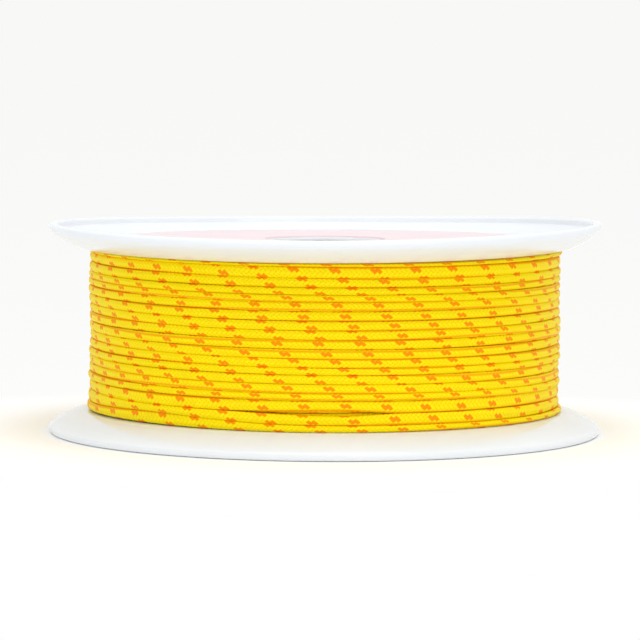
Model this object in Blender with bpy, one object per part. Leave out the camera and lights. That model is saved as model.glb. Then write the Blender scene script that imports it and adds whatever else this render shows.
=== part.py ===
"""Line spool wound with braided cord, standing on one flange.

Metres, +Z up. The origin is on the spool's axis, on the surface that it stands on.
"""

import math

import bmesh
import bpy
from mathutils import Matrix, Vector

# Overall sizes of the spool.
FLANGE_RADIUS = 0.100
SPOOL_HEIGHT = 0.075
FLANGE_DEPTH = 0.009  # from a rim's crest to the face that the cord lies against
BARREL_RADIUS = 0.052
BORE_RADIUS = 0.0125

# The cord and its winding.
CORD_DIAMETER = 0.003
FLANGE_OVERHANG = 0.0145  # how far the flanges stand out beyond the wound cord
WINDING_EDGE = 0.0012

# Walls and clearances.
WEB_WALL = 0.0021
RIM_WALL = 0.0030
RIM_CURVE = 0.0065
CREST_CURVE = 0.0009
BARREL_WALL = 0.0022
SEAT_GAP = 0.0003  # between pieces that seat on or in each other

# The dished outside of each flange: a cover disc with a ring label on it.
LABEL_THICKNESS = 0.0003
LABEL_INSET = 0.024  # from the rim's outside to the label's outer edge
LABEL_HUB_MARGIN = 0.001
COVER_THICKNESS = 0.0010

# The hub: a sunk pocket in each flange, and two sleeves that plug into each other.
POCKET_RADIUS = 0.021
POCKET_SINK = 0.0010  # from the cord face to the pocket's floor, further in
COLLAR_THICKNESS = 0.0022
SLEEVE_WALL = 0.0040
PLUG_WALL = 0.0018
PLUG_LENGTH = 0.0160
SNAP_BEAD_HEIGHT = 0.0005
SNAP_BEAD_LENGTH = 0.0020

# The spigot and ribs on each flange, inside the barrel.
SPIGOT_HEIGHT = 0.0040
SPIGOT_WALL = 0.0020
RIB_COUNT = 8
RIB_HEIGHT = 0.0030
RIB_THICKNESS = 0.0016
RIB_SINK = 0.0006  # how far a rib runs into the walls that it joins

# Where the cord starts: a hole in the barrel, with a knot behind it.
ANCHOR_RISE = 0.011  # from the lower flange's cord face to the hole
ANCHOR_CLEARANCE = 0.0007
HOLE_REACH = 0.009  # the drill's length, past both faces of the barrel's wall
KNOT_RADIUS = 0.004

# How finely round shapes are divided.
ROUND_STEPS = 60
SLEEVE_STEPS = 40
HOLE_STEPS = 16
CORD_STEPS = 12
CURVE_STEPS = 5
FOOT_STEPS = 3
EDGE_STEPS = 2
SHARP_ANGLE = 35  # degrees between faces that stay a hard edge
MERGE_DISTANCE = 1e-6

MID_HEIGHT = SPOOL_HEIGHT / 2
SLEEVE_RADIUS = BORE_RADIUS + SLEEVE_WALL
WEB_DEPTH = FLANGE_DEPTH - WEB_WALL
COVER_DEPTH = WEB_DEPTH - SEAT_GAP - COVER_THICKNESS
LABEL_DEPTH = COVER_DEPTH - SEAT_GAP - LABEL_THICKNESS
POCKET_FLOOR_DEPTH = FLANGE_DEPTH + POCKET_SINK
ANCHOR_HEIGHT = FLANGE_DEPTH + ANCHOR_RISE
SPIGOT_RADIUS = BARREL_RADIUS - BARREL_WALL - SEAT_GAP
DISH_CURVE = RIM_CURVE - RIM_WALL + WEB_WALL / 2  # across the rounded foot of the rim, inside the dish
DISH_RADIUS = FLANGE_RADIUS - RIM_WALL - DISH_CURVE
WINDING_RADIUS = FLANGE_RADIUS - FLANGE_OVERHANG
LOWER, UPPER = "lower", "upper"


def clear_scene():
    for obj in list(bpy.data.objects):
        bpy.data.objects.remove(obj, do_unlink=True)


def material(name, color, roughness, metallic=0.0):
    """A Principled material with this linear colour."""
    made = bpy.data.materials.new(name)
    made.use_nodes = True
    shader = made.node_tree.nodes["Principled BSDF"]
    shader.inputs["Base Color"].default_value = (*color, 1.0)
    shader.inputs["Roughness"].default_value = roughness
    shader.inputs["Metallic"].default_value = metallic
    made.diffuse_color = (*color, 1.0)
    return made


def arc(center, radii, start, end, steps=CURVE_STEPS):
    """Points (r, depth) along an ellipse's arc, from start to end in degrees."""
    points = []
    for step in range(steps + 1):
        angle = math.radians(start + (end - start) * step / steps)
        points.append(
            (center[0] + radii[0] * math.cos(angle), center[1] + radii[1] * math.sin(angle))
        )
    return points


def add_object(name, mesh, look=None):
    made = bpy.data.objects.new(name, mesh)
    bpy.context.scene.collection.objects.link(made)
    if look:
        mesh.materials.append(look)
    return made


def turned(name, outline, look, steps=ROUND_STEPS):
    """A solid of revolution about Z from a closed outline of (r, z) points."""
    shape = bmesh.new()
    corners = [shape.verts.new((r, 0.0, z)) for r, z in outline]
    for first, second in zip(corners, corners[1:] + corners[:1]):
        shape.edges.new((first, second))
    bmesh.ops.spin(
        shape,
        geom=list(shape.verts) + list(shape.edges),
        cent=(0, 0, 0),
        axis=(0, 0, 1),
        angle=math.tau,
        steps=steps,
        use_merge=True,
    )
    bmesh.ops.remove_doubles(shape, verts=shape.verts, dist=MERGE_DISTANCE)
    bmesh.ops.recalc_face_normals(shape, faces=shape.faces)
    mesh = bpy.data.meshes.new(name)
    shape.to_mesh(mesh)
    shape.free()
    mesh.shade_smooth()
    mesh.set_sharp_from_angle(angle=math.radians(SHARP_ANGLE))
    return add_object(name, mesh, look)


def from_rim(outline, side):
    """(r, depth) points, with depth from a rim's crest, as (r, z) of that side's piece."""
    if side == LOWER:
        return outline
    return [(r, SPOOL_HEIGHT - depth) for r, depth in outline]


def flange_outline():
    """The flange's section: hub pocket, spigot, flat cord face, curved rim and dished outside."""
    hole = SLEEVE_RADIUS + SEAT_GAP
    pocket_outside = POCKET_RADIUS + WEB_WALL
    pocket_end = POCKET_FLOOR_DEPTH + WEB_WALL
    spigot_inside = SPIGOT_RADIUS - SPIGOT_WALL
    spigot_end = FLANGE_DEPTH + SPIGOT_HEIGHT
    curve_start = FLANGE_DEPTH - RIM_CURVE
    curve_center = FLANGE_RADIUS - RIM_CURVE
    inside = FLANGE_RADIUS - RIM_WALL
    crest = (CREST_CURVE, CREST_CURVE)
    return [
        (hole, POCKET_FLOOR_DEPTH),
        (hole, pocket_end),
        (pocket_outside, pocket_end),
        (pocket_outside, FLANGE_DEPTH),
        (spigot_inside, FLANGE_DEPTH),
        (spigot_inside, spigot_end),
        (SPIGOT_RADIUS, spigot_end),
        (SPIGOT_RADIUS, FLANGE_DEPTH),
        *arc((curve_center, curve_start), (RIM_CURVE, RIM_CURVE), 90, 0),
        *arc((FLANGE_RADIUS - CREST_CURVE, CREST_CURVE), crest, 0, -90, EDGE_STEPS),
        *arc((inside + CREST_CURVE, CREST_CURVE), crest, -90, -180, EDGE_STEPS),
        *arc((DISH_RADIUS, curve_start), (DISH_CURVE, WEB_DEPTH - curve_start), 0, 90, FOOT_STEPS),
        (POCKET_RADIUS, WEB_DEPTH),
        (POCKET_RADIUS, POCKET_FLOOR_DEPTH),
    ]


def add_ribs(flange, side):
    """Joins radial ribs to the flange, from its hub pocket out to its spigot."""
    start = POCKET_RADIUS + WEB_WALL - RIB_SINK
    end = SPIGOT_RADIUS - SPIGOT_WALL + RIB_SINK
    low = FLANGE_DEPTH - RIB_SINK
    high = FLANGE_DEPTH + RIB_HEIGHT
    middle = (low + high) / 2 if side == LOWER else SPOOL_HEIGHT - (low + high) / 2
    shape = bmesh.new()
    for index in range(RIB_COUNT):
        turn = Matrix.Rotation(math.tau * (index + 0.5) / RIB_COUNT, 4, "Z")
        place = turn @ Matrix.Translation(((start + end) / 2, 0, middle))
        size = Matrix.Diagonal((end - start, RIB_THICKNESS, high - low, 1))
        bmesh.ops.create_cube(shape, size=1.0, matrix=place @ size)
    mesh = bpy.data.meshes.new(flange.name + "_ribs")
    shape.to_mesh(mesh)
    shape.free()
    ribs = add_object(mesh.name, mesh)
    ribs.hide_render = True
    ribs.display_type = "WIRE"
    joined = flange.modifiers.new("ribs", "BOOLEAN")
    joined.operation = "UNION"
    joined.solver = "EXACT"
    joined.object = ribs


def make_flange(side, look):
    flange = turned(side + "_flange", from_rim(flange_outline(), side), look)
    add_ribs(flange, side)


def make_cover_disc(side, look):
    bottom = COVER_DEPTH + COVER_THICKNESS
    outline = [
        (POCKET_RADIUS, COVER_DEPTH),
        (DISH_RADIUS, COVER_DEPTH),
        (DISH_RADIUS, bottom),
        (POCKET_RADIUS, bottom),
    ]
    turned(side + "_cover_disc", from_rim(outline, side), look)


def make_label(side, look):
    inner = POCKET_RADIUS + LABEL_HUB_MARGIN
    outer = FLANGE_RADIUS - LABEL_INSET
    bottom = LABEL_DEPTH + LABEL_THICKNESS
    outline = [
        (inner, LABEL_DEPTH),
        (outer, LABEL_DEPTH),
        (outer, bottom),
        (inner, bottom),
    ]
    turned(side + "_label", from_rim(outline, side), look)


def collar_depths():
    """Where a sleeve's collar begins and ends, below the rim's crest."""
    seat = POCKET_FLOOR_DEPTH - SEAT_GAP
    return seat - COLLAR_THICKNESS, seat


def make_lower_sleeve(look):
    """The sleeve with the plug: it stands on its collar and reaches up into the upper one."""
    collar_top, collar_seat = collar_depths()
    collar_radius = POCKET_RADIUS - SEAT_GAP
    plug_start = MID_HEIGHT - PLUG_LENGTH / 2
    plug_end = MID_HEIGHT + PLUG_LENGTH / 2
    plug = BORE_RADIUS + PLUG_WALL
    bead_start = MID_HEIGHT - SNAP_BEAD_LENGTH / 2
    bead_end = MID_HEIGHT + SNAP_BEAD_LENGTH / 2
    outline = [
        (BORE_RADIUS, collar_top),
        (collar_radius, collar_top),
        (collar_radius, collar_seat),
        (SLEEVE_RADIUS, collar_seat),
        (SLEEVE_RADIUS, plug_start),
        (plug, plug_start),
        (plug, bead_start),
        (plug + SNAP_BEAD_HEIGHT, MID_HEIGHT),
        (plug, bead_end),
        (plug, plug_end),
        (BORE_RADIUS, plug_end),
    ]
    turned("lower_hub_sleeve", outline, look, SLEEVE_STEPS)


def make_upper_sleeve(look):
    """The sleeve with the socket: it hangs from its collar over the lower one's plug."""
    collar_top, collar_seat = collar_depths()
    collar_radius = POCKET_RADIUS - SEAT_GAP
    socket = BORE_RADIUS + PLUG_WALL + SEAT_GAP
    socket_start = MID_HEIGHT - PLUG_LENGTH / 2 + SEAT_GAP
    socket_end = MID_HEIGHT + PLUG_LENGTH / 2 + SEAT_GAP
    groove_start = MID_HEIGHT - SNAP_BEAD_LENGTH / 2 - SEAT_GAP
    groove_end = MID_HEIGHT + SNAP_BEAD_LENGTH / 2 + SEAT_GAP
    outline = [
        (BORE_RADIUS, SPOOL_HEIGHT - collar_top),
        (BORE_RADIUS, socket_end),
        (socket, socket_end),
        (socket, groove_end),
        (socket + SNAP_BEAD_HEIGHT, MID_HEIGHT),
        (socket, groove_start),
        (socket, socket_start),
        (SLEEVE_RADIUS, socket_start),
        (SLEEVE_RADIUS, SPOOL_HEIGHT - collar_seat),
        (collar_radius, SPOOL_HEIGHT - collar_seat),
        (collar_radius, SPOOL_HEIGHT - collar_top),
    ]
    turned("upper_hub_sleeve", outline, look, SLEEVE_STEPS)


def make_barrel(look):
    """The tube that the cord is wound on, with the hole that the cord starts through."""
    low = FLANGE_DEPTH + SEAT_GAP
    high = SPOOL_HEIGHT - FLANGE_DEPTH - SEAT_GAP
    inner = BARREL_RADIUS - BARREL_WALL
    outline = [(inner, low), (BARREL_RADIUS, low), (BARREL_RADIUS, high), (inner, high)]
    barrel = turned("barrel", outline, look)
    shape = bmesh.new()
    bmesh.ops.create_cone(
        shape,
        cap_ends=True,
        segments=HOLE_STEPS,
        radius1=CORD_DIAMETER / 2 + ANCHOR_CLEARANCE,
        radius2=CORD_DIAMETER / 2 + ANCHOR_CLEARANCE,
        depth=HOLE_REACH,
        matrix=Matrix.Translation((0, BARREL_RADIUS - BARREL_WALL / 2, ANCHOR_HEIGHT))
        @ Matrix.Rotation(math.radians(90), 4, "X"),
    )
    mesh = bpy.data.meshes.new("anchor_hole")
    shape.to_mesh(mesh)
    shape.free()
    drill = add_object(mesh.name, mesh)
    drill.hide_render = True
    drill.display_type = "WIRE"
    cut = barrel.modifiers.new("anchor_hole", "BOOLEAN")
    cut.operation = "DIFFERENCE"
    cut.solver = "EXACT"
    cut.object = drill


def make_winding(look):
    """The outer shape of the whole length of cord, wound on the barrel between the flanges."""
    inner = BARREL_RADIUS + SEAT_GAP
    low = FLANGE_DEPTH + SEAT_GAP
    high = SPOOL_HEIGHT - FLANGE_DEPTH - SEAT_GAP
    edge = (WINDING_EDGE, WINDING_EDGE)
    outline = [
        (inner, low),
        *arc((WINDING_RADIUS - WINDING_EDGE, low + WINDING_EDGE), edge, -90, 0, EDGE_STEPS),
        *arc((WINDING_RADIUS - WINDING_EDGE, high - WINDING_EDGE), edge, 0, 90, EDGE_STEPS),
        (inner, high),
    ]
    turned("cord_winding", outline, look)


def make_start_knot(look):
    """The knotted start of the cord: it comes in through the barrel's hole."""
    wall_inside = BARREL_RADIUS - BARREL_WALL
    knot_center = wall_inside - SEAT_GAP - KNOT_RADIUS
    stub_end = BARREL_RADIUS
    shape = bmesh.new()
    bmesh.ops.create_icosphere(shape, subdivisions=2, radius=KNOT_RADIUS)
    knot_mesh = bpy.data.meshes.new("cord_start_knot")
    shape.to_mesh(knot_mesh)
    shape.free()
    knot_mesh.shade_smooth()
    knot = add_object("cord_start_knot", knot_mesh, look)
    knot.location = Vector((0, knot_center, ANCHOR_HEIGHT))
    shape = bmesh.new()
    bmesh.ops.create_cone(
        shape,
        cap_ends=True,
        segments=CORD_STEPS,
        radius1=CORD_DIAMETER / 2,
        radius2=CORD_DIAMETER / 2,
        depth=stub_end - knot_center,
        matrix=Matrix.Translation((0, (stub_end + knot_center) / 2, ANCHOR_HEIGHT))
        @ Matrix.Rotation(math.radians(90), 4, "X"),
    )
    stub_mesh = bpy.data.meshes.new("cord_start_stub")
    shape.to_mesh(stub_mesh)
    shape.free()
    stub = add_object(stub_mesh.name, stub_mesh)
    stub.hide_render = True
    stub.display_type = "WIRE"
    joined = knot.modifiers.new("stub", "BOOLEAN")
    joined.operation = "UNION"
    joined.solver = "EXACT"
    joined.object = stub


def main():
    clear_scene()
    flange_white = material("flange_white", (0.86, 0.87, 0.90), 0.16)
    cover_white = material("cover_white", (0.86, 0.87, 0.90), 0.22)
    label_pink = material("label_pink", (0.84, 0.72, 0.72), 0.20)
    sleeve_white = material("sleeve_white", (0.78, 0.79, 0.80), 0.35)
    barrel_white = material("barrel_white", (0.74, 0.75, 0.76), 0.45)
    cord_yellow = material("cord_yellow", (0.98, 0.62, 0.01), 0.55)
    for side in (LOWER, UPPER):
        make_flange(side, flange_white)
        make_cover_disc(side, cover_white)
        make_label(side, label_pink)
    make_lower_sleeve(sleeve_white)
    make_upper_sleeve(sleeve_white)
    make_barrel(barrel_white)
    make_winding(cord_yellow)
    make_start_knot(cord_yellow)


main()
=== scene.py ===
"""A line spool wound full with braided cord, on a pale table.

Laid out as an add-on: each operator makes one group of the spool's pieces round the fixed frame.
Metres, +Z up, with the origin on the spool's axis, at its foot.
"""

import math

import bpy
import numpy as np
from bpy.props import FloatProperty, FloatVectorProperty, IntProperty, PointerProperty
from mathutils import Matrix, Vector


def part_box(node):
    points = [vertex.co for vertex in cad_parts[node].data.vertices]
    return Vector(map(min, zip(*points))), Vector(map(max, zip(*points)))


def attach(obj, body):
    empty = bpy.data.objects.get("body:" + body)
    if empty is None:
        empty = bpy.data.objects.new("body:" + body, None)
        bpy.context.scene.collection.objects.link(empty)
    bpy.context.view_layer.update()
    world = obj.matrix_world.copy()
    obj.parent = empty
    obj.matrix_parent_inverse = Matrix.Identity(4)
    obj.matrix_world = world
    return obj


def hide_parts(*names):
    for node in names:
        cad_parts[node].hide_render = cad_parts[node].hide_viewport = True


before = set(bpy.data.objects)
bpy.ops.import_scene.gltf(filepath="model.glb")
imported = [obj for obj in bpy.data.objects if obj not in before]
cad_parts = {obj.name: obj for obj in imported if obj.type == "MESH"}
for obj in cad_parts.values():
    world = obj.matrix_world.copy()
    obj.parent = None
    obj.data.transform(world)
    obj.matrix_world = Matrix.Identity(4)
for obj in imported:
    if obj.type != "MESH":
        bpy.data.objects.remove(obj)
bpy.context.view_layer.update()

bl_info = {
    "name": "Wound Line Spool",
    "version": (1, 0, 0),
    "blender": (4, 5, 0),
    "location": "3D View > Sidebar > Line Spool",
    "description": "Makes a dished line spool, wound full with braided cord, round its frame",
    "category": "Add Mesh",
}

BODY = "root"
LOWER, UPPER = "lower", "upper"
SIDES = (LOWER, UPPER)
MM = 0.001

# Heights and radii that the frame gives.
SPOOL_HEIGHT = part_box("upper_flange")[1].z
FLANGE_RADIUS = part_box("upper_flange")[1].x
WINDING_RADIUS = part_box("cord_winding")[1].x
LABEL_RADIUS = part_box("upper_label")[1].x
LABEL_DEPTH = SPOOL_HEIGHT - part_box("upper_label")[1].z
LABEL_FOOT = SPOOL_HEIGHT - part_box("upper_label")[0].z
COVER_DEPTH = SPOOL_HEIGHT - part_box("upper_cover_disc")[1].z
COVER_FOOT = SPOOL_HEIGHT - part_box("upper_cover_disc")[0].z
COLLAR_DEPTH = SPOOL_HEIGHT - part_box("upper_hub_sleeve")[1].z
SPIGOT_END = SPOOL_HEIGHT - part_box("upper_flange")[0].z

# The flange's section, between those. A depth is measured from a rim's crest.
SEAT_GAP = 0.3 * MM
FACE_DEPTHS = {LOWER: 8.1 * MM, UPPER: 8.8 * MM}  # of the face that the cord lies against
SLOPE_RADIUS = 87.0 * MM  # from here out to the rim, the flange curves away
RIM_DEPTH = 2.2 * MM
CHANNEL = (FACE_DEPTHS[LOWER], SPOOL_HEIGHT - FACE_DEPTHS[UPPER])  # heights of the two faces
RIM_WALL = 3.0 * MM
WEB_WALL = 1.9 * MM
DISH_FLOOR = 6.6 * MM
DISH_RADIUS = SLOPE_RADIUS - 1.5 * MM
POCKET_RADIUS = 21.0 * MM
POCKET_FLOOR = 10.0 * MM
SLEEVE_HOLE = 16.8 * MM
SPIGOT_RADIUS = 49.5 * MM
SPIGOT_WALL = 2.0 * MM

# The hub's sleeves.
BORE_RADIUS = 12.5 * MM
SLEEVE_RADIUS = 16.5 * MM
COLLAR_THICKNESS = 2.2 * MM
PLUG_WALL = 1.8 * MM
PLUG_LENGTH = 16.0 * MM
SNAP_HEIGHT = 0.5 * MM
SNAP_LENGTH = 2.0 * MM

# The outer layer's turns, counted from the upper flange down. All are then scaled to fill the channel.
TURNS = 19
EVEN_TURN = 3.1 * MM
HIDDEN_TURN = 1.2 * MM  # what shows of the first one, which is pressed in under the flange
TIGHT_TURN = 2.4 * MM
WIDE_TURN = 4.0 * MM
TIGHT_TURNS = (3, 4, 12, 15, 18)
WIDE_TURNS = (1, 16, 17)
FRONT = math.radians(270)  # the azimuth at which those widths hold

# Where the outer layer lies unevenly, as a count of turns from the upper flange down.
LAYER_START = -0.45
PARTING_PLACE, PARTING_SIZE = 17.010, 0.95 * MM  # two turns stand this far from their groove
GAP_HEIGHT, GAP_REACH = 15.6 * MM, 2.4 * MM  # where the under layer shows in that parting
GAP_FILL = 1.5 * MM  # how far it is squeezed out there
LIFT_PLACE, LIFT_SIZE = 17.88, 1.5 * MM  # a groove rises
BULGE_PLACES, BULGE_SIZE = (17.79, 16.79), 0.9 * MM  # turns are pushed outwards

# The braid. A lead is the length of cord in which one strand goes once round it.
STRANDS = 8  # strands that run each way round the cord
BRAID_TURN = 0.06  # how far round, in turns, the braid's first strand lies from the outside
BRAID_RELIEF = 0.04 * MM  # how far its ridges stand out, and its hollows in
CORD_SQUARENESS = 2.2  # the power of its section's outline, where 2 is an ellipse
TIP_LENGTH = 1.6 * MM
OUTER_STEPS = 16  # rings in a lead, and points in a ring, of the outer layer
UNDER_RINGS, UNDER_POINTS = 8, 12  # the same of the layer under it
UNDER_DEPTH = 2.4 * MM  # from the outer layer's middle to the under one's
UNDER_START = 0.8  # how far round from the front, in turns, the under layer starts
KNOT_LEAD = 14.0 * MM
KNOT_GIRTH = 9.4 * MM

GLOW_DEPTH = 4.0 * MM  # how far light spreads inside the moulded plastic

# The stage.
ROOM_LIGHT = 0.82  # how bright the even light from all round is, where 1 renders white
BACKDROP = (0.939, 0.939, 0.931)
FLOOR_HALF_SIDE = 30.0
FLOOR_GAP = 0.1 * MM
LAMPS = (  # name, place, size and power
    ("key_lamp", (0.7, -1.5, 0.5), (1.0, 0.8), 2.2),
    ("fill_lamp", (-0.8, -1.5, 0.4), (1.0, 0.8), 1.5),
    ("top_lamp", (0.1, -0.35, 1.5), (1.0, 1.0), 8.0),
)
CAMERA_PLACE = (-0.00174, -1.1682, 0.1261)
CAMERA_LENS = 180.86
CAMERA_PITCH = math.radians(90 - 4.205)  # from straight down
CAMERA_ROLL = math.radians(0.317)


class SpoolSettings(bpy.types.PropertyGroup):
    """Sizes of the wound cord and of the moulded pieces' finer shape."""

    cord_width: FloatProperty(
        name="Cord width",
        description="Width of the braided cord as it lies in its turn",
        default=3.0 * MM,
        unit="LENGTH",
    )
    cord_height: FloatProperty(
        name="Cord height",
        description="Height of the cord, from the layer below to its outside",
        default=2.8 * MM,
        unit="LENGTH",
    )
    braid_lead: FloatProperty(
        name="Braid lead",
        description="Length of cord in which one strand goes once round it",
        default=13.98 * MM,
        unit="LENGTH",
    )
    flange_tilt: FloatProperty(
        name="Flange tilt",
        description="How much higher the upper rim's right side is than its middle",
        default=0.62 * MM,
        unit="LENGTH",
    )
    flange_bow: FloatProperty(
        name="Flange bow",
        description="How far the upper rim's sides lie above its front and back",
        default=2.3 * MM,
        unit="LENGTH",
    )
    round_steps: IntProperty(
        name="Round steps",
        description="Faces round a turned piece",
        default=288,
        min=24,
    )


class SpoolColours(bpy.types.PropertyGroup):
    """Colours of the spool's materials."""

    flange: FloatVectorProperty(
        name="Flange white",
        description="Colour of the moulded flanges",
        default=(0.83, 0.87, 0.915),
        subtype="COLOR",
        size=3,
    )
    cover: FloatVectorProperty(
        name="Cover white",
        description="Colour of the cover discs",
        default=(0.88, 0.90, 0.92),
        subtype="COLOR",
        size=3,
    )
    label: FloatVectorProperty(
        name="Label pink",
        description="Colour of the plain ring labels",
        default=(0.87, 0.70, 0.73),
        subtype="COLOR",
        size=3,
    )
    sleeve: FloatVectorProperty(
        name="Sleeve white",
        description="Colour of the hub sleeves",
        default=(0.80, 0.81, 0.82),
        subtype="COLOR",
        size=3,
    )
    yarn: FloatVectorProperty(
        name="Cord yellow",
        description="Colour of the cord's ground strands",
        default=(1.0, 0.78, 0.002),
        subtype="COLOR",
        size=3,
    )
    tracer: FloatVectorProperty(
        name="Tracer orange",
        description="Colour of the two tracer strands that show as flecks",
        default=(1.0, 0.245, 0.001),
        subtype="COLOR",
        size=3,
    )


# --- Shader expressions ---------------------------------------------------------------------


class Value:
    """A socket of a node tree, on which arithmetic adds Math nodes."""

    def __init__(self, finish, socket):
        self.finish = finish
        self.socket = socket

    def maths(self, operation, *values):
        """Adds a Math node."""
        sockets = dict(enumerate(values))
        return self.finish.node("ShaderNodeMath", {"operation": operation}, sockets)

    def __add__(self, other):
        return self.maths("ADD", self, other)

    def __radd__(self, other):
        return self.maths("ADD", other, self)

    def __sub__(self, other):
        return self.maths("SUBTRACT", self, other)

    def __rsub__(self, other):
        return self.maths("SUBTRACT", other, self)

    def __mul__(self, other):
        return self.maths("MULTIPLY", self, other)

    def __rmul__(self, other):
        return self.maths("MULTIPLY", other, self)

    def __truediv__(self, other):
        return self.maths("DIVIDE", self, other)

    def __rtruediv__(self, other):
        return self.maths("DIVIDE", other, self)

    def __mod__(self, other):
        return self.maths("FLOORED_MODULO", self, other)

    def __lt__(self, other):
        return self.maths("LESS_THAN", self, other)

    def __abs__(self):
        return self.maths("ABSOLUTE", self)

    def __floor__(self):
        return self.maths("FLOOR", self)

    def sine(self):
        return self.maths("SINE", self)

    def ramp(self, low, high, to_low=0.0, to_high=1.0):
        """Goes smoothly from to_low, at low, to to_high, at high."""
        sockets = {0: self, 1: low, 2: high, 3: to_low, 4: to_high}
        return self.finish.node("ShaderNodeMapRange", {"interpolation_type": "SMOOTHSTEP"}, sockets)


class Tree:
    """A node tree, to which every node is added in the same way."""

    def __init__(self, tree):
        self.tree = tree

    def node(self, kind, settings=None, sockets=None, output=0):
        """Adds a node: its type, its settings, then what its sockets hold or are linked to."""
        made = self.tree.nodes.new(kind)
        for name, value in (settings or {}).items():
            setattr(made, name, value)
        for name, value in (sockets or {}).items():
            self.fill(made.inputs[name], value)
        return Value(self, made.outputs[output])

    def fill(self, socket, value):
        """Links a value to a socket, or sets a plain number or colour on it."""
        if isinstance(value, Value):
            self.tree.links.new(value.socket, socket)
        elif socket.type == "RGBA":
            socket.default_value = (*value[:3], 1.0)
        else:
            socket.default_value = value


class Finish(Tree):
    """A material with one Principled shader, whose varying sockets are written as expressions."""

    def __init__(self, name, **uniform):
        self.material = bpy.data.materials.new(name)
        self.material.use_nodes = True
        super().__init__(self.material.node_tree)
        self.shader = self.tree.nodes["Principled BSDF"]
        for socket, value in uniform.items():
            self.set(socket.replace("_", " "), value)

    def set(self, socket, value):
        """Fills a socket of the Principled shader."""
        self.fill(self.shader.inputs[socket], value)

    def mix(self, factor, first, second):
        """A colour between two others."""
        return self.node("ShaderNodeMix", {"data_type": "RGBA"}, {0: factor, 6: first, 7: second}, 2)

    def place(self):
        """Where a point lies on the piece, in metres."""
        return self.node("ShaderNodeTexCoord", output=3)

    def axis(self, vector, index):
        """One of a vector's three numbers."""
        return self.node("ShaderNodeSeparateXYZ", sockets={0: vector}, output=index)

    def noise(self, vector, scale, detail, roughness=0.5):
        """Cloudy noise, from 0 to 1; a higher scale makes it finer."""
        sockets = {"Vector": vector, "Scale": scale, "Detail": detail, "Roughness": roughness}
        return self.node("ShaderNodeTexNoise", {"noise_dimensions": "3D"}, sockets)

    def bump(self, height, distance, strength):
        """Raises the surface by height, in units of distance."""
        sockets = {"Strength": strength, "Distance": distance, "Height": height}
        self.set("Normal", self.node("ShaderNodeBump", sockets=sockets))


def tinted(colour, amount):
    """A colour with its green and blue scaled and its red kept: the dye's tone where it varies at
    random, and painted shade or highlight on the cord.
    """
    return (colour[0], colour[1] * amount, colour[2] * amount)


def shade(colour, amount):
    """The colour, made darker or lighter by a factor."""
    return tuple(min(1.0, part * amount) for part in colour)


# --- Mesh helpers ---------------------------------------------------------------------------


def add_piece(name, vertices, faces, look, replaces):
    """A mesh that rides on the spool, stands for CAD nodes and takes a slot's finish."""
    mesh = bpy.data.meshes.new(name)
    mesh.from_pydata(vertices, [], faces)
    mesh.update()
    mesh.validate()
    mesh.materials.append(look)
    piece = bpy.data.objects.new(name, mesh)
    bpy.context.scene.collection.objects.link(piece)
    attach(piece, BODY)
    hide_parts(*replaces)
    return piece


def arc(center, radius, start, end, steps):
    """Points (r, depth) along a circle's arc, from start to end in degrees."""
    angles = np.radians(np.linspace(start, end, steps + 1))
    return [
        (center[0] + radius * math.cos(angle), center[1] + radius * math.sin(angle))
        for angle in angles
    ]


def rounded(corners, steps=6):
    """An outline's corners (r, depth, cut), each cut back by that length and rounded between."""
    points = []
    for index, (r, depth, back) in enumerate(corners):
        corner = np.array((r, depth))
        if back == 0:
            points.append((r, depth))
            continue
        before = np.array(corners[index - 1][:2]) - corner
        after = np.array(corners[(index + 1) % len(corners)][:2]) - corner
        start = corner + before * back / np.linalg.norm(before)
        end = corner + after * back / np.linalg.norm(after)
        for t in np.linspace(0, 1, steps + 1):
            points.append(tuple((1 - t) ** 2 * start + 2 * t * (1 - t) * corner + t**2 * end))
    return points


def from_rim(outline, side):
    """(r, depth) points, with depth from a rim's crest, as (r, z) of that side's piece."""
    if side == LOWER:
        return outline
    return [(r, SPOOL_HEIGHT - depth) for r, depth in outline]


def turned_grid(outline, steps):
    """Vertices and faces of a closed (r, z) outline turned about Z, facing out."""
    profile = np.array(outline)
    nxt = np.roll(profile, -1, axis=0)
    area = np.sum(profile[:, 0] * nxt[:, 1] - nxt[:, 0] * profile[:, 1])
    if area > 0:
        profile = profile[::-1]
    angles = np.arange(steps) * math.tau / steps
    r, z = profile[:, 0], profile[:, 1]
    grid = np.stack(
        [
            np.outer(np.cos(angles), r),
            np.outer(np.sin(angles), r),
            np.broadcast_to(z, (steps, len(z))),
        ],
        axis=-1,
    )
    count = len(profile)
    ring, point = np.meshgrid(np.arange(steps), np.arange(count), indexing="ij")
    next_ring, next_point = (ring + 1) % steps, (point + 1) % count
    faces = np.stack(
        [
            ring * count + point,
            ring * count + next_point,
            next_ring * count + next_point,
            next_ring * count + point,
        ],
        axis=-1,
    )
    return grid.reshape(-1, 3), faces.reshape(-1, 4)


def warp_height(x, y, settings):
    """How far the upper flange, slightly out of flat, lies above its plane."""
    r = np.hypot(x, y) / FLANGE_RADIUS
    tilt = settings.flange_tilt * x / FLANGE_RADIUS
    bow = settings.flange_bow / 2 * (x * x - y * y) / FLANGE_RADIUS**2
    return (tilt + bow) * r**4


def warped(vertices, side, settings):
    """The vertices, moved with the upper flange's warp where the piece is the upper side's."""
    if side == UPPER:
        vertices = vertices.copy()
        vertices[:, 2] += warp_height(vertices[:, 0], vertices[:, 1], settings)
    return vertices


def smooth(piece, sharp_degrees=35):
    """Shades a piece smooth, apart from edges sharper than the angle."""
    piece.data.shade_smooth()
    piece.data.set_sharp_from_angle(angle=math.radians(sharp_degrees))


# --- Materials ------------------------------------------------------------------------------


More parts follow.
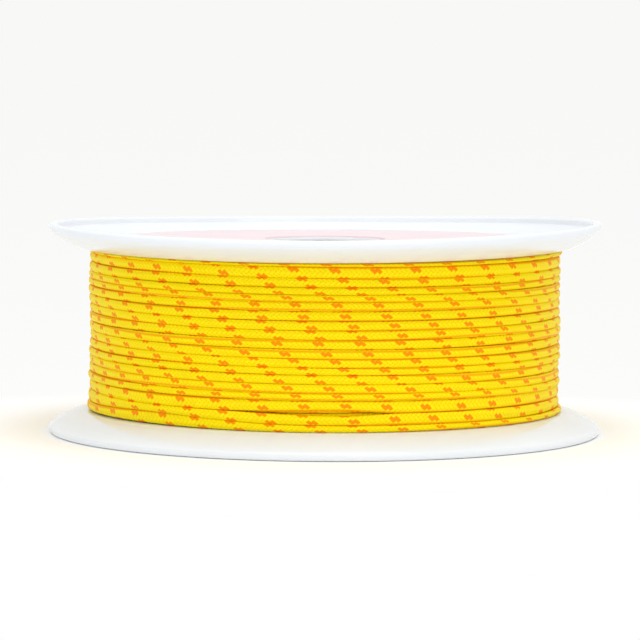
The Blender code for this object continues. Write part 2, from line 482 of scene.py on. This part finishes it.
def moulded_finish(name, colour, roughness):
    """Glossy moulded plastic: faint flow tint, polish that varies, fine scuffs and slight waviness."""
    finish = Finish(name, Subsurface_Weight=0.35, Subsurface_Scale=GLOW_DEPTH)
    finish.set("Subsurface Radius", (1.0, 1.0, 1.0))
    place = finish.place()
    flow = finish.noise(place, 18.0, 3.0)
    scuffs = finish.noise(place, 900.0, 2.0, 0.7)
    waves = finish.noise(place, 60.0, 1.0)
    tint = finish.mix(flow.ramp(0.3, 0.7), shade(colour, 0.975), shade(colour, 1.01))
    finish.set("Base Color", tint)
    finish.set("Roughness", roughness + (scuffs - 0.5) * 0.06 + (flow - 0.5) * 0.05)
    finish.bump(waves + scuffs * 0.02, 0.10 * MM, 0.4)
    return finish.material


def label_finish(colour):
    """Coated label paper: soft mottle of the print's ground and a fine paper tooth."""
    finish = Finish("label_paper", Specular_IOR_Level=0.5)
    place = finish.place()
    mottle = finish.noise(place, 45.0, 3.0)
    tooth = finish.noise(place, 2200.0, 2.0)
    finish.set("Base Color", finish.mix(mottle.ramp(0.3, 0.7), shade(colour, 0.99), shade(colour, 1.01)))
    finish.set("Roughness", 0.30 + (tooth - 0.5) * 0.10)
    finish.bump(tooth + mottle * 3.0, 0.02 * MM, 0.6)
    return finish.material


def braided_cord(name, colours, make_run):
    """The braided cord's material; make_run gives (leads along the cord, turns round it)."""
    finish = Finish(name, Specular_IOR_Level=0.07)
    run, around = make_run(finish)
    right = (run - around) * STRANDS
    left = (run + around) * STRANDS
    right_strand, left_strand = math.floor(right), math.floor(left)
    right_on_top = (right_strand - left_strand) % 4 < 1.5
    # Along a float, from -1 to 1, and across its strand, from -1 to 1.
    along_right = (left - right_strand - 2.0) % 4 - 2.0
    along_left = (right - left_strand - 1.0) % 4 - 2.0
    across_right = (right - right_strand) * 2.0 - 1.0
    across_left = (left - left_strand) * 2.0 - 1.0
    along = along_left + (along_right - along_left) * right_on_top
    across = across_left + (across_right - across_left) * right_on_top
    reach = across * across + along * along
    crown = 1.0 - reach * 0.5
    fibres = (across * 14.0 + along * 1.5).sine()
    lobe = across * across * 0.6 + along * along * 1.3
    tracer = (left_strand % STRANDS < 1.5) * (1.0 - right_on_top) * lobe.ramp(1.65, 1.05)
    place = finish.place()
    patchy = finish.noise(place, 260.0, 2.0)
    soil = finish.noise(place, 30.0, 3.0)
    yarn, fleck = colours.yarn, colours.tracer
    # Painted shade and highlight: each float of the braid is lighter on its crown and darker where it
    # dips under the crossing strands.
    ground = finish.mix(crown.ramp(0.1, 0.7), tinted(yarn, 0.72), tinted(yarn, 1.07))
    ground = finish.mix(patchy.ramp(0.35, 0.75, 0.0, 0.35), ground, tinted(yarn, 0.88))
    # Painted shade: the cord is darker on its upper and lower sides, in the grooves where they meet
    # other turns.
    side = abs(((around + BRAID_TURN) * math.tau + math.pi / 2).sine())
    ground = finish.mix(side.ramp(0.05, 0.40, 0.75, 0.0), ground, tinted(yarn, 0.42))
    # The flecks get the same painted shade and highlight over each float.
    flecks = finish.mix(crown.ramp(0.1, 0.7), tinted(fleck, 0.65), tinted(fleck, 1.3))
    finish.set("Base Color", finish.mix(tracer, ground, flecks))
    finish.set("Roughness", 0.48 + (soil - 0.5) * 0.10 - crown * 0.08)
    finish.bump(crown + fibres * 0.04 + patchy * 0.1, 0.2 * MM, 0.7)
    return finish.material


def cord_coordinates(finish):
    """The cord's own map: leads along it, and turns round it."""
    run = finish.node("ShaderNodeUVMap", {"uv_map": "cord_run"})
    return finish.axis(run, 0), finish.axis(run, 1)


def knot_coordinates(finish):
    """Leads and turns for the knot, from its place: up it, and round its middle."""
    place = finish.place()
    height = finish.axis(place, 2)
    side = finish.axis(place, 0)
    return height / KNOT_LEAD, side / KNOT_GIRTH


# --- Pieces ---------------------------------------------------------------------------------


def rim_curve(start, end, depth, steps=18):
    """Points (r, depth) that turn from a level face into a rim's upright side."""
    angles = np.linspace(math.pi / 2, 0, steps + 1)
    power = 2 / 1.3
    return [
        (
            start + (end - start) * abs(math.cos(angle)) ** power,
            RIM_DEPTH + (depth - RIM_DEPTH) * abs(math.sin(angle)) ** power,
        )
        for angle in angles
    ]


def flange_outline(face):
    """The flange's section: hub pocket, spigot, cord face, sloping rim and dished outside."""
    pocket_outside = POCKET_RADIUS + WEB_WALL
    pocket_end = POCKET_FLOOR + WEB_WALL
    spigot_inside = SPIGOT_RADIUS - SPIGOT_WALL
    inside = FLANGE_RADIUS - RIM_WALL
    corners = [
        (SLEEVE_HOLE, POCKET_FLOOR, 0),
        (SLEEVE_HOLE, pocket_end, 0),
        (pocket_outside, pocket_end, 0),
        (pocket_outside, face, 0),
        (spigot_inside, face, 0),
        (spigot_inside, SPIGOT_END, 0),
        (SPIGOT_RADIUS, SPIGOT_END, 0),
        (SPIGOT_RADIUS, face, 0),
        *[(r, depth, 0) for r, depth in rim_curve(SLOPE_RADIUS, FLANGE_RADIUS, face)],
        (FLANGE_RADIUS, 0, 1.2 * MM),
        (inside, 0, 1.2 * MM),
        *[(r, depth, 0) for r, depth in reversed(rim_curve(DISH_RADIUS, inside, DISH_FLOOR))],
        (POCKET_RADIUS, DISH_FLOOR, 0),
        (POCKET_RADIUS, POCKET_FLOOR, 0),
    ]
    return rounded(corners)


def add_turned(name, outline, side, look, node, settings):
    """A piece turned from its section, which lies in or on the flange of its side."""
    vertices, faces = turned_grid(from_rim(outline, side), settings.round_steps)
    vertices = warped(vertices, side, settings)
    smooth(add_piece(side + name, vertices, faces, look, (side + node,)))


def make_flange(side, look, settings):
    """One dished flange, with its rim, hub pocket and spigot."""
    outline = flange_outline(FACE_DEPTHS[side])
    add_turned("_flange_moulding", outline, side, look, "_flange", settings)


def make_cover(side, look, settings):
    """The disc that fills one flange's dish, out to its rim."""
    edge = 0.15 * MM
    outline = [
        *arc((POCKET_RADIUS + edge, COVER_DEPTH + edge), edge, -180, -90, 3),
        *arc((DISH_RADIUS - edge, COVER_DEPTH + edge), edge, -90, 0, 3),
        (DISH_RADIUS, COVER_FOOT + SEAT_GAP),
        (POCKET_RADIUS, COVER_FOOT + SEAT_GAP),
    ]
    add_turned("_cover_plate", outline, side, look, "_cover_disc", settings)


def make_label(side, look, settings):
    """The bare ring label on one cover disc."""
    edge = 0.08 * MM
    inner = POCKET_RADIUS + 1.0 * MM
    outline = [
        *arc((inner + edge, LABEL_DEPTH + edge), edge, -180, -90, 2),
        (0.5 * (inner + LABEL_RADIUS), LABEL_DEPTH),
        *arc((LABEL_RADIUS - edge, LABEL_DEPTH + edge), edge, -90, 0, 2),
        (LABEL_RADIUS, LABEL_FOOT + SEAT_GAP),
        (inner, LABEL_FOOT + SEAT_GAP),
    ]
    add_turned("_ring_label", outline, side, look, "_label", settings)


def lower_sleeve_outline():
    """The sleeve with the plug: it stands on its collar and reaches up into the upper one."""
    middle = SPOOL_HEIGHT / 2
    seat = COLLAR_DEPTH + COLLAR_THICKNESS
    collar = POCKET_RADIUS - SEAT_GAP
    plug_foot, plug_end = middle - PLUG_LENGTH / 2, middle + PLUG_LENGTH / 2
    plug = BORE_RADIUS + PLUG_WALL
    edge = 0.5 * MM
    return [
        *arc((BORE_RADIUS + edge, COLLAR_DEPTH + edge), edge, -180, -90, 4),
        *arc((collar - edge, COLLAR_DEPTH + edge), edge, -90, 0, 4),
        (collar, seat),
        (SLEEVE_RADIUS, seat),
        (SLEEVE_RADIUS, plug_foot),
        (plug, plug_foot),
        (plug, middle - SNAP_LENGTH / 2),
        (plug + SNAP_HEIGHT, middle),
        (plug, middle + SNAP_LENGTH / 2),
        (plug, plug_end),
        (BORE_RADIUS, plug_end),
    ]


def upper_sleeve_outline():
    """The sleeve with the socket: it hangs from its collar over the lower one's plug."""
    middle = SPOOL_HEIGHT / 2
    top = SPOOL_HEIGHT - COLLAR_DEPTH
    seat = top - COLLAR_THICKNESS
    collar = POCKET_RADIUS - SEAT_GAP
    socket = BORE_RADIUS + PLUG_WALL + SEAT_GAP
    mouth = middle - PLUG_LENGTH / 2 + SEAT_GAP
    socket_end = middle + PLUG_LENGTH / 2 + SEAT_GAP
    edge = 0.5 * MM
    return [
        *arc((BORE_RADIUS + edge, top - edge), edge, 90, 180, 4),
        (BORE_RADIUS, socket_end),
        (socket, socket_end),
        (socket, middle + SNAP_LENGTH / 2 + SEAT_GAP),
        (socket + SNAP_HEIGHT, middle),
        (socket, middle - SNAP_LENGTH / 2 - SEAT_GAP),
        (socket, mouth),
        (SLEEVE_RADIUS, mouth),
        (SLEEVE_RADIUS, seat),
        (collar, seat),
        *arc((collar - edge, top - edge), edge, 0, 90, 4),
    ]


def make_sleeve(side, look, settings):
    """One of the two sleeves that meet inside the bore."""
    outline = lower_sleeve_outline() if side == LOWER else upper_sleeve_outline()
    vertices, faces = turned_grid(outline, settings.round_steps // 3)
    sleeve = add_piece(
        side + "_bore_sleeve", vertices, faces, look, (side + "_hub_sleeve",)
    )
    smooth(sleeve)


# --- The wound cord -------------------------------------------------------------------------


def turn_width(turn):
    """How wide one turn of the outer layer lies at the front."""
    if turn == 0:
        return HIDDEN_TURN
    if turn in TIGHT_TURNS:
        return TIGHT_TURN
    if turn in WIDE_TURNS:
        return WIDE_TURN
    return EVEN_TURN


def groove_heights(groove):
    """Heights of the grooves between turns; groove counts turns from the upper flange down."""
    widths = np.array([turn_width(turn) for turn in range(TURNS)])
    fall = np.concatenate([[0.0], np.cumsum(widths)]) / widths.sum()
    low, high = CHANNEL
    level = high - (high - low) * np.interp(groove, np.arange(TURNS + 1), fall)
    return level + LIFT_SIZE * bump_at(groove, LIFT_PLACE, 0.10, 0.10)


def bump_at(t, center, rise, fall):
    """A smooth bump of height 1 at center, which rises and falls over these lengths."""
    distance = np.where(t < center, (center - t) / rise, (t - center) / fall)
    near = np.clip(1.0 - distance, 0.0, 1.0)
    return near * near * (3.0 - 2.0 * near)


def parting(groove):
    """Half the gap that opens at a groove where two turns stand apart."""
    return PARTING_SIZE * bump_at(groove, PARTING_PLACE, 0.085, 0.040)


def squeezed_out(turn):
    """How far two turns near the lower flange are pushed outwards at one side."""
    return sum(BULGE_SIZE * bump_at(turn, place, 0.12, 0.10) for place in BULGE_PLACES)


def wander(t, seed, size):
    """A smooth wobble along the cord that never repeats from turn to turn."""
    source = np.random.default_rng(seed)
    total = np.zeros_like(t)
    for waves in (0.9, 1.7, 2.9, 4.7):
        phase = source.uniform(0, math.tau)
        total += math.sqrt(1 / waves) * np.sin(math.tau * waves * t + phase)
    return size * total / 2


def tube(run, centers, half_height, half_width, azimuth, twist, relief, around):
    """Vertices of a braided cord's skin: one ring for each step along its run."""
    steps = np.arange(around) / around
    angle = math.tau * (steps[None, :] + twist[:, None])
    power = 2.0 / CORD_SQUARENESS
    out = np.sign(np.cos(angle)) * np.abs(np.cos(angle)) ** power
    up = np.sign(np.sin(angle)) * np.abs(np.sin(angle)) ** power
    ring = np.arange(len(run))[:, None] + np.arange(around)[None, :]
    relief = np.broadcast_to(relief, len(run))[:, None]
    lift = np.where(ring % 2 == 1, relief, -relief)
    r = centers[:, :1] + out * (half_height[:, None] + lift)
    z = centers[:, 1:] + up * (half_width[:, None] + lift)
    return np.stack([r * np.cos(azimuth)[:, None], r * np.sin(azimuth)[:, None], z], axis=-1)


def add_cord(name, rings, run, look):
    """A tube piece through rings of points, with its run and its way round in a map."""
    count, around = rings.shape[:2]
    ring, point = np.meshgrid(np.arange(count - 1), np.arange(around), indexing="ij")
    after = (point + 1) % around
    faces = np.stack(
        [
            ring * around + point,
            ring * around + after,
            (ring + 1) * around + after,
            (ring + 1) * around + point,
        ],
        axis=-1,
    ).reshape(-1, 4)
    caps = [tuple(range(around - 1, -1, -1)), tuple(range((count - 1) * around, count * around))]
    cord = add_piece(
        name,
        rings.reshape(-1, 3),
        [tuple(face) for face in faces.tolist()] + caps,
        look,
        ("cord_winding",),
    )
    layer = cord.data.uv_layers.new(name="cord_run")
    u = np.stack([run[ring], run[ring], run[ring + 1], run[ring + 1]], axis=-1)
    v = np.stack([point, point + 1, point + 1, point], axis=-1) / around
    coords = np.stack([u, v], axis=-1).reshape(-1, 2)
    ends = np.repeat([[run[0], 0.5], [run[-1], 0.5]], around, axis=0)
    layer.data.foreach_set("uv", np.concatenate([coords, ends]).astype(np.float32).ravel())
    smooth(cord, 60)
    return cord


def channel_stretch(azimuth, settings):
    """How much taller the channel is at an azimuth, as a share of its height."""
    x = WINDING_RADIUS * np.cos(azimuth)
    y = WINDING_RADIUS * np.sin(azimuth)
    return warp_height(x, y, settings) / (CHANNEL[1] - CHANNEL[0])


def make_outer_layer(look, settings):
    """The outer layer's turns, from the upper flange down to the lower one."""
    half_height = settings.cord_height / 2
    radius = WINDING_RADIUS - half_height
    pick = settings.braid_lead / OUTER_STEPS
    count = int(round(math.tau * radius * (TURNS - 0.1) / pick))
    turn = LAYER_START + np.arange(count) * pick / (math.tau * radius)
    azimuth = FRONT + math.tau * turn
    run = np.arange(count) / OUTER_STEPS
    upper = groove_heights(turn) - parting(turn)
    lower = groove_heights(turn + 1) + parting(turn + 1)
    half_width = np.clip((upper - lower) / 2, 0.6 * MM, 2.2 * MM)
    middle = (upper + lower) / 2 + wander(turn, 5, 0.15 * MM)
    middle = CHANNEL[0] + (middle - CHANNEL[0]) * (1 + channel_stretch(azimuth, settings))
    squeeze = (settings.cord_width / 2 / half_width) ** 0.35
    height = half_height * np.clip(squeeze, 0.85, 1.2)
    out = wander(turn, 9, 0.30 * MM) + squeezed_out(turn)
    centers = np.stack([radius - half_height + height + out, middle], axis=-1)
    twist = BRAID_TURN + wander(turn, 21, 0.17)
    # Both ends are sealed to a blunt tip.
    from_end = np.minimum(np.arange(count), np.arange(count)[::-1]) * pick
    tip = np.sqrt(1 - (1 - np.clip(from_end / TIP_LENGTH, 0.02, 1)) ** 2)
    relief = BRAID_RELIEF * tip
    width = half_width * tip * 1.02
    rings = tube(run, centers, height * tip, width, azimuth, twist, relief, OUTER_STEPS)
    groups = 4
    for group in range(groups):
        start = group * (count - 1) // groups
        end = (group + 1) * (count - 1) // groups
        name = f"cord_turns_{group + 1}"
        add_cord(name, rings[start : end + 1], run[start : end + 1], look)


def make_under_layer(look, settings):
    """The layer of turns that shows between those of the outer one."""
    half_height = settings.cord_height / 2
    radius = WINDING_RADIUS - half_height - UNDER_DEPTH
    pick = settings.braid_lead / UNDER_RINGS
    pitch = settings.cord_width
    low, high = CHANNEL[0] + pitch / 2, CHANNEL[1] - pitch / 2
    turns = (high - low) / pitch
    count = int(round(math.tau * radius * turns / pick))
    turn = np.arange(count) * pick / (math.tau * radius)
    azimuth = FRONT + math.tau * (turn + UNDER_START)
    middle = low + turn * pitch
    middle = CHANNEL[0] + (middle - CHANNEL[0]) * (1 + channel_stretch(azimuth, settings))
    # It is squeezed outwards where the turns over it stand apart.
    around = (turn + UNDER_START) % 1.0
    at_front = bump_at(around, 0.0, 0.10, 0.06) + bump_at(around, 1.0, 0.10, 0.06)
    in_gap = at_front * bump_at(middle, GAP_HEIGHT, GAP_REACH, GAP_REACH)
    centers = np.stack([radius + GAP_FILL * in_gap, middle], axis=-1)
    run = np.arange(count) / UNDER_RINGS
    half_width = np.full(count, pitch / 2)
    height = np.full(count, half_height)
    twist = 0.1 * turn
    rings = tube(run, centers, height, half_width, azimuth, twist, BRAID_RELIEF, UNDER_POINTS)
    add_cord("cord_under_layer", rings, run, look)


# --- Stage ----------------------------------------------------------------------------------


def make_floor():
    """A pale floor, lit near the spool and even beyond it."""
    finish = Finish("floor_white", Specular_IOR_Level=0.0, Roughness=0.9)
    finish.set("Base Color", (0.95, 0.95, 0.945))
    place = finish.place()
    distance = finish.node("ShaderNodeVectorMath", {"operation": "LENGTH"}, {0: place}, 1)
    depth = finish.axis(place, 1)
    # Behind the spool, the floor's white fades into the backdrop's with distance.
    behind = depth.ramp(0.10, 0.13)
    level = 1.0 - behind * (0.062 - 0.045 / (1.0 + abs(depth) * 1.5))
    tone = finish.node("ShaderNodeCombineColor", sockets={0: level, 1: level, 2: level - behind * 0.008})
    glow = finish.node("ShaderNodeEmission", sockets={"Color": tone, "Strength": 1.0})
    sockets = {0: distance.ramp(0.115, 0.18), 1: Value(finish, finish.shader.outputs[0]), 2: glow}
    mixed = finish.node("ShaderNodeMixShader", sockets=sockets)
    output = finish.tree.nodes["Material Output"]
    finish.fill(output.inputs["Surface"], mixed)
    size = FLOOR_HALF_SIDE
    mesh = bpy.data.meshes.new("floor")
    corners = [(-size, -size, 0), (size, -size, 0), (size, size, 0), (-size, size, 0)]
    mesh.from_pydata(corners, [], [(0, 1, 2, 3)])
    mesh.materials.append(finish.material)
    floor = bpy.data.objects.new("floor", mesh)
    floor.location.z = -FLOOR_GAP
    bpy.context.scene.collection.objects.link(floor)


def add_lamp(name, place, size, power):
    """A soft rectangular lamp that faces the spool's middle."""
    lamp = bpy.data.lights.new(name, "AREA")
    lamp.shape = "RECTANGLE"
    lamp.size, lamp.size_y = size
    lamp.energy = power
    holder = bpy.data.objects.new(name, lamp)
    holder.location = place
    aim = Vector((0, 0, SPOOL_HEIGHT / 2)) - Vector(place)
    holder.rotation_euler = aim.to_track_quat("-Z", "Y").to_euler()
    bpy.context.scene.collection.objects.link(holder)


def make_world():
    """A soft even room, which shows as the pale backdrop."""
    world = bpy.data.worlds.new("studio")
    bpy.context.scene.world = world
    world.use_nodes = True
    room = Tree(world.node_tree)
    seen = room.node("ShaderNodeLightPath", output=0)
    mirrored = room.node("ShaderNodeLightPath", output=3)
    through = room.node("ShaderNodeLightPath", output=6)
    direct = seen.maths("MAXIMUM", seen, mirrored)
    direct = direct.maths("MAXIMUM", direct, through)
    light = {"Color": (1.0, 1.0, 1.0), "Strength": ROOM_LIGHT}
    backdrop = {"Color": BACKDROP, "Strength": 1.0}
    shown = room.node(
        "ShaderNodeMixShader",
        sockets={
            0: direct,
            1: room.node("ShaderNodeBackground", sockets=light),
            2: room.node("ShaderNodeBackground", sockets=backdrop),
        },
    )
    room.fill(room.tree.nodes["World Output"].inputs["Surface"], shown)


def make_camera():
    """A long lens, a little above the rim and looking slightly down."""
    camera = bpy.data.cameras.new("camera")
    camera.sensor_width = 36.0
    camera.lens = CAMERA_LENS
    holder = bpy.data.objects.new("camera", camera)
    holder.matrix_world = (
        Matrix.Translation(CAMERA_PLACE)
        @ Matrix.Rotation(CAMERA_PITCH, 4, "X")
        @ Matrix.Rotation(CAMERA_ROLL, 4, "Z")
    )
    bpy.context.scene.collection.objects.link(holder)
    bpy.context.scene.camera = holder


# --- Operators ------------------------------------------------------------------------------


class SPOOL_OT_stage(bpy.types.Operator):
    """Make the floor, the lamps, the room's light and the camera"""

    bl_idname = "spool.stage"
    bl_label = "Stage"

    def execute(self, context):
        make_floor()
        make_world()
        for lamp in LAMPS:
            add_lamp(*lamp)
        make_camera()
        context.scene.view_settings.view_transform = "Standard"
        return {"FINISHED"}


class SPOOL_OT_flanges(bpy.types.Operator):
    """Make the two dished flanges"""

    bl_idname = "spool.flanges"
    bl_label = "Flanges"

    def execute(self, context):
        scene = context.scene
        look = moulded_finish("flange_gloss", scene.spool_colours.flange, 0.14)
        for side in SIDES:
            make_flange(side, look, scene.spool_settings)
        return {"FINISHED"}


class SPOOL_OT_covers(bpy.types.Operator):
    """Make the cover discs that lie in the flanges' dishes"""

    bl_idname = "spool.covers"
    bl_label = "Cover discs"

    def execute(self, context):
        scene = context.scene
        look = moulded_finish("cover_gloss", scene.spool_colours.cover, 0.26)
        for side in SIDES:
            make_cover(side, look, scene.spool_settings)
        return {"FINISHED"}


class SPOOL_OT_labels(bpy.types.Operator):
    """Make the plain ring labels"""

    bl_idname = "spool.labels"
    bl_label = "Labels"

    def execute(self, context):
        scene = context.scene
        look = label_finish(scene.spool_colours.label)
        for side in SIDES:
            make_label(side, look, scene.spool_settings)
        return {"FINISHED"}


class SPOOL_OT_sleeves(bpy.types.Operator):
    """Make the two sleeves that line the bore"""

    bl_idname = "spool.sleeves"
    bl_label = "Hub sleeves"

    def execute(self, context):
        scene = context.scene
        look = moulded_finish("sleeve_satin", scene.spool_colours.sleeve, 0.38)
        for side in SIDES:
            make_sleeve(side, look, scene.spool_settings)
        return {"FINISHED"}


class SPOOL_OT_barrel(bpy.types.Operator):
    """Finish the barrel and the cord's knotted start"""

    bl_idname = "spool.barrel"
    bl_label = "Barrel and knot"

    def execute(self, context):
        colours = context.scene.spool_colours
        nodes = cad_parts
        looks = {
            "barrel": moulded_finish("barrel_satin", shade(colours.sleeve, 0.95), 0.45),
            "cord_start_knot": braided_cord("knot_braid", colours, knot_coordinates),
        }
        for name, look in looks.items():
            mesh = nodes[name].data
            mesh.materials.clear()
            mesh.materials.append(look)
        return {"FINISHED"}


class SPOOL_OT_winding(bpy.types.Operator):
    """Wind the cord: the outer layer and the one under it"""

    bl_idname = "spool.winding"
    bl_label = "Wound cord"

    def execute(self, context):
        scene = context.scene
        look = braided_cord("cord_braid", scene.spool_colours, cord_coordinates)
        make_under_layer(look, scene.spool_settings)
        make_outer_layer(look, scene.spool_settings)
        return {"FINISHED"}


MAKERS = (
    SPOOL_OT_stage,
    SPOOL_OT_flanges,
    SPOOL_OT_covers,
    SPOOL_OT_labels,
    SPOOL_OT_sleeves,
    SPOOL_OT_barrel,
    SPOOL_OT_winding,
)


class SPOOL_PT_maker(bpy.types.Panel):
    """Lists the operators that make the spool"""

    bl_label = "Line Spool"
    bl_idname = "SPOOL_PT_maker"
    bl_space_type = "VIEW_3D"
    bl_region_type = "UI"
    bl_category = "Line Spool"

    def draw(self, context):
        for maker in MAKERS:
            self.layout.operator(maker.bl_idname)
        for group in (context.scene.spool_settings, context.scene.spool_colours):
            for name in group.bl_rna.properties.keys():
                if name not in ("rna_type", "name"):
                    self.layout.prop(group, name)


CLASSES = (SpoolSettings, SpoolColours, *MAKERS, SPOOL_PT_maker)


def register():
    for cls in CLASSES:
        bpy.utils.register_class(cls)
    bpy.types.Scene.spool_settings = PointerProperty(type=SpoolSettings)
    bpy.types.Scene.spool_colours = PointerProperty(type=SpoolColours)


def unregister():
    del bpy.types.Scene.spool_settings
    del bpy.types.Scene.spool_colours
    for cls in reversed(CLASSES):
        bpy.utils.unregister_class(cls)


def main():
    """Makes every piece in order."""
    register()
    for maker in MAKERS:
        group, name = maker.bl_idname.split(".")
        getattr(getattr(bpy.ops, group), name)()


if __name__ == "__main__":
    main()
